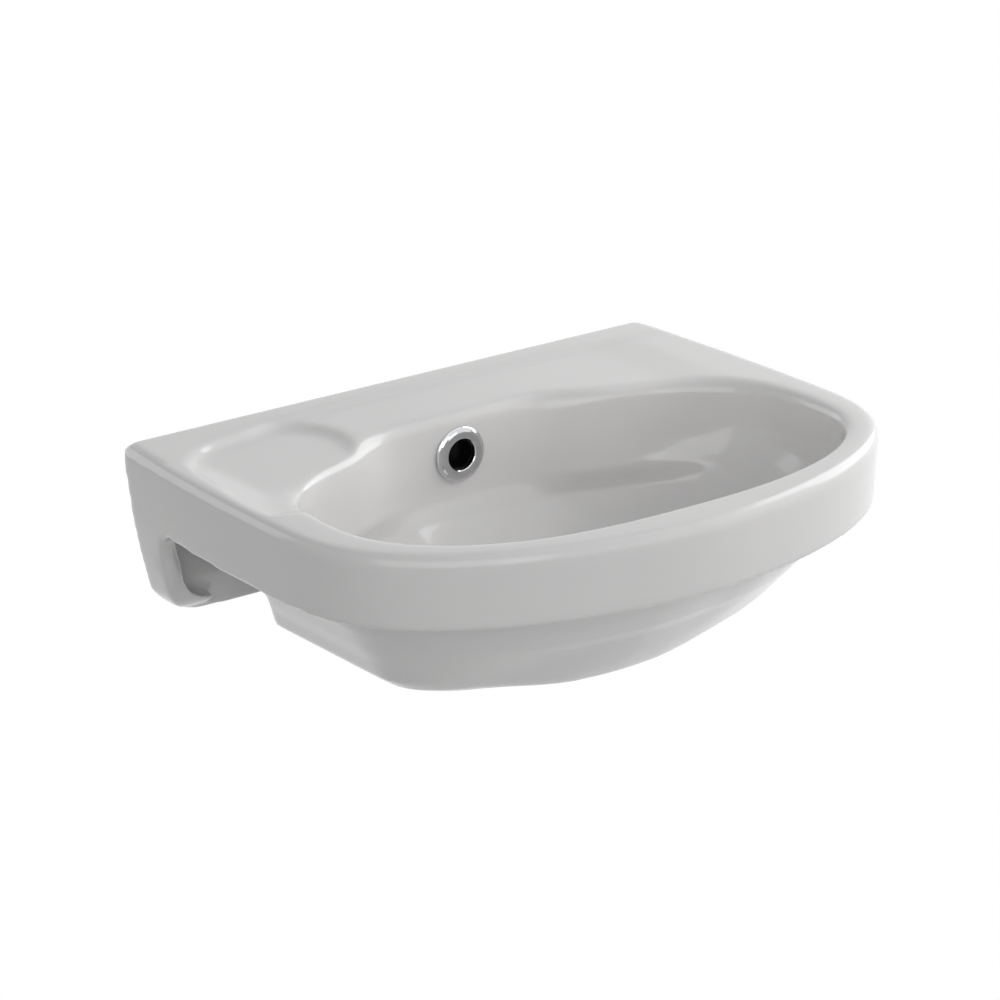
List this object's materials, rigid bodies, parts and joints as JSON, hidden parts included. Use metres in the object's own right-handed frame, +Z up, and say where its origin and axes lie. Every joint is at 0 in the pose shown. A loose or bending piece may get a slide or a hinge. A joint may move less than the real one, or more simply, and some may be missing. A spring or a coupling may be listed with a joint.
{
  "type": "wall hung basin",
  "caption": "Wall hung hand basin with a flat ledge, a soap recess at the left, deep apron, overflow ring, slotted press-to-open waste and wall fixings.",
  "frame": {"origin": "on the wall plane, midway between the two wall fixings, 62 mm below the front rim", "axes": "+Y into the wall, -Y out to the user, +X to the right seen from the user, +Z up"},
  "size_m": [0.449, 0.4137, 0.151],
  "materials": {
    "glazed_ware": "gloss",
    "chrome_trim": "polished",
    "waste_chrome": "chrome plated",
    "raw_brass": "turned",
    "black_rubber": "matte",
    "white_nylon": "matte",
    "white_cap": "gloss",
    "zinc_steel": "zinc plated"
  },
  "bodies": {
    "basin": {"basin_body": "glazed_ware", "overflow_ring": "chrome_trim", "overflow_seal": "black_rubber", "waste_body": "waste_chrome", "waste_flange_seal": "black_rubber", "waste_outlet_seal": "black_rubber", "waste_slip_washer": "white_nylon", "waste_backnut": "raw_brass", "plug_cartridge": "raw_brass", "wall_studs": "zinc_steel", "wall_sleeves": "white_nylon", "wall_washers": "zinc_steel", "wall_nuts": "zinc_steel", "wall_caps": "white_cap"},
    "plug": {"plug_rod": "raw_brass", "plug_cap": "waste_chrome", "plug_seal": "black_rubber"}
  },
  "joints": [
    {"name": "plug_lift", "type": "slide", "parent": "basin", "child": "plug", "axis": [0, 0, 1], "range_m": [0, 0.009]}
  ]
}
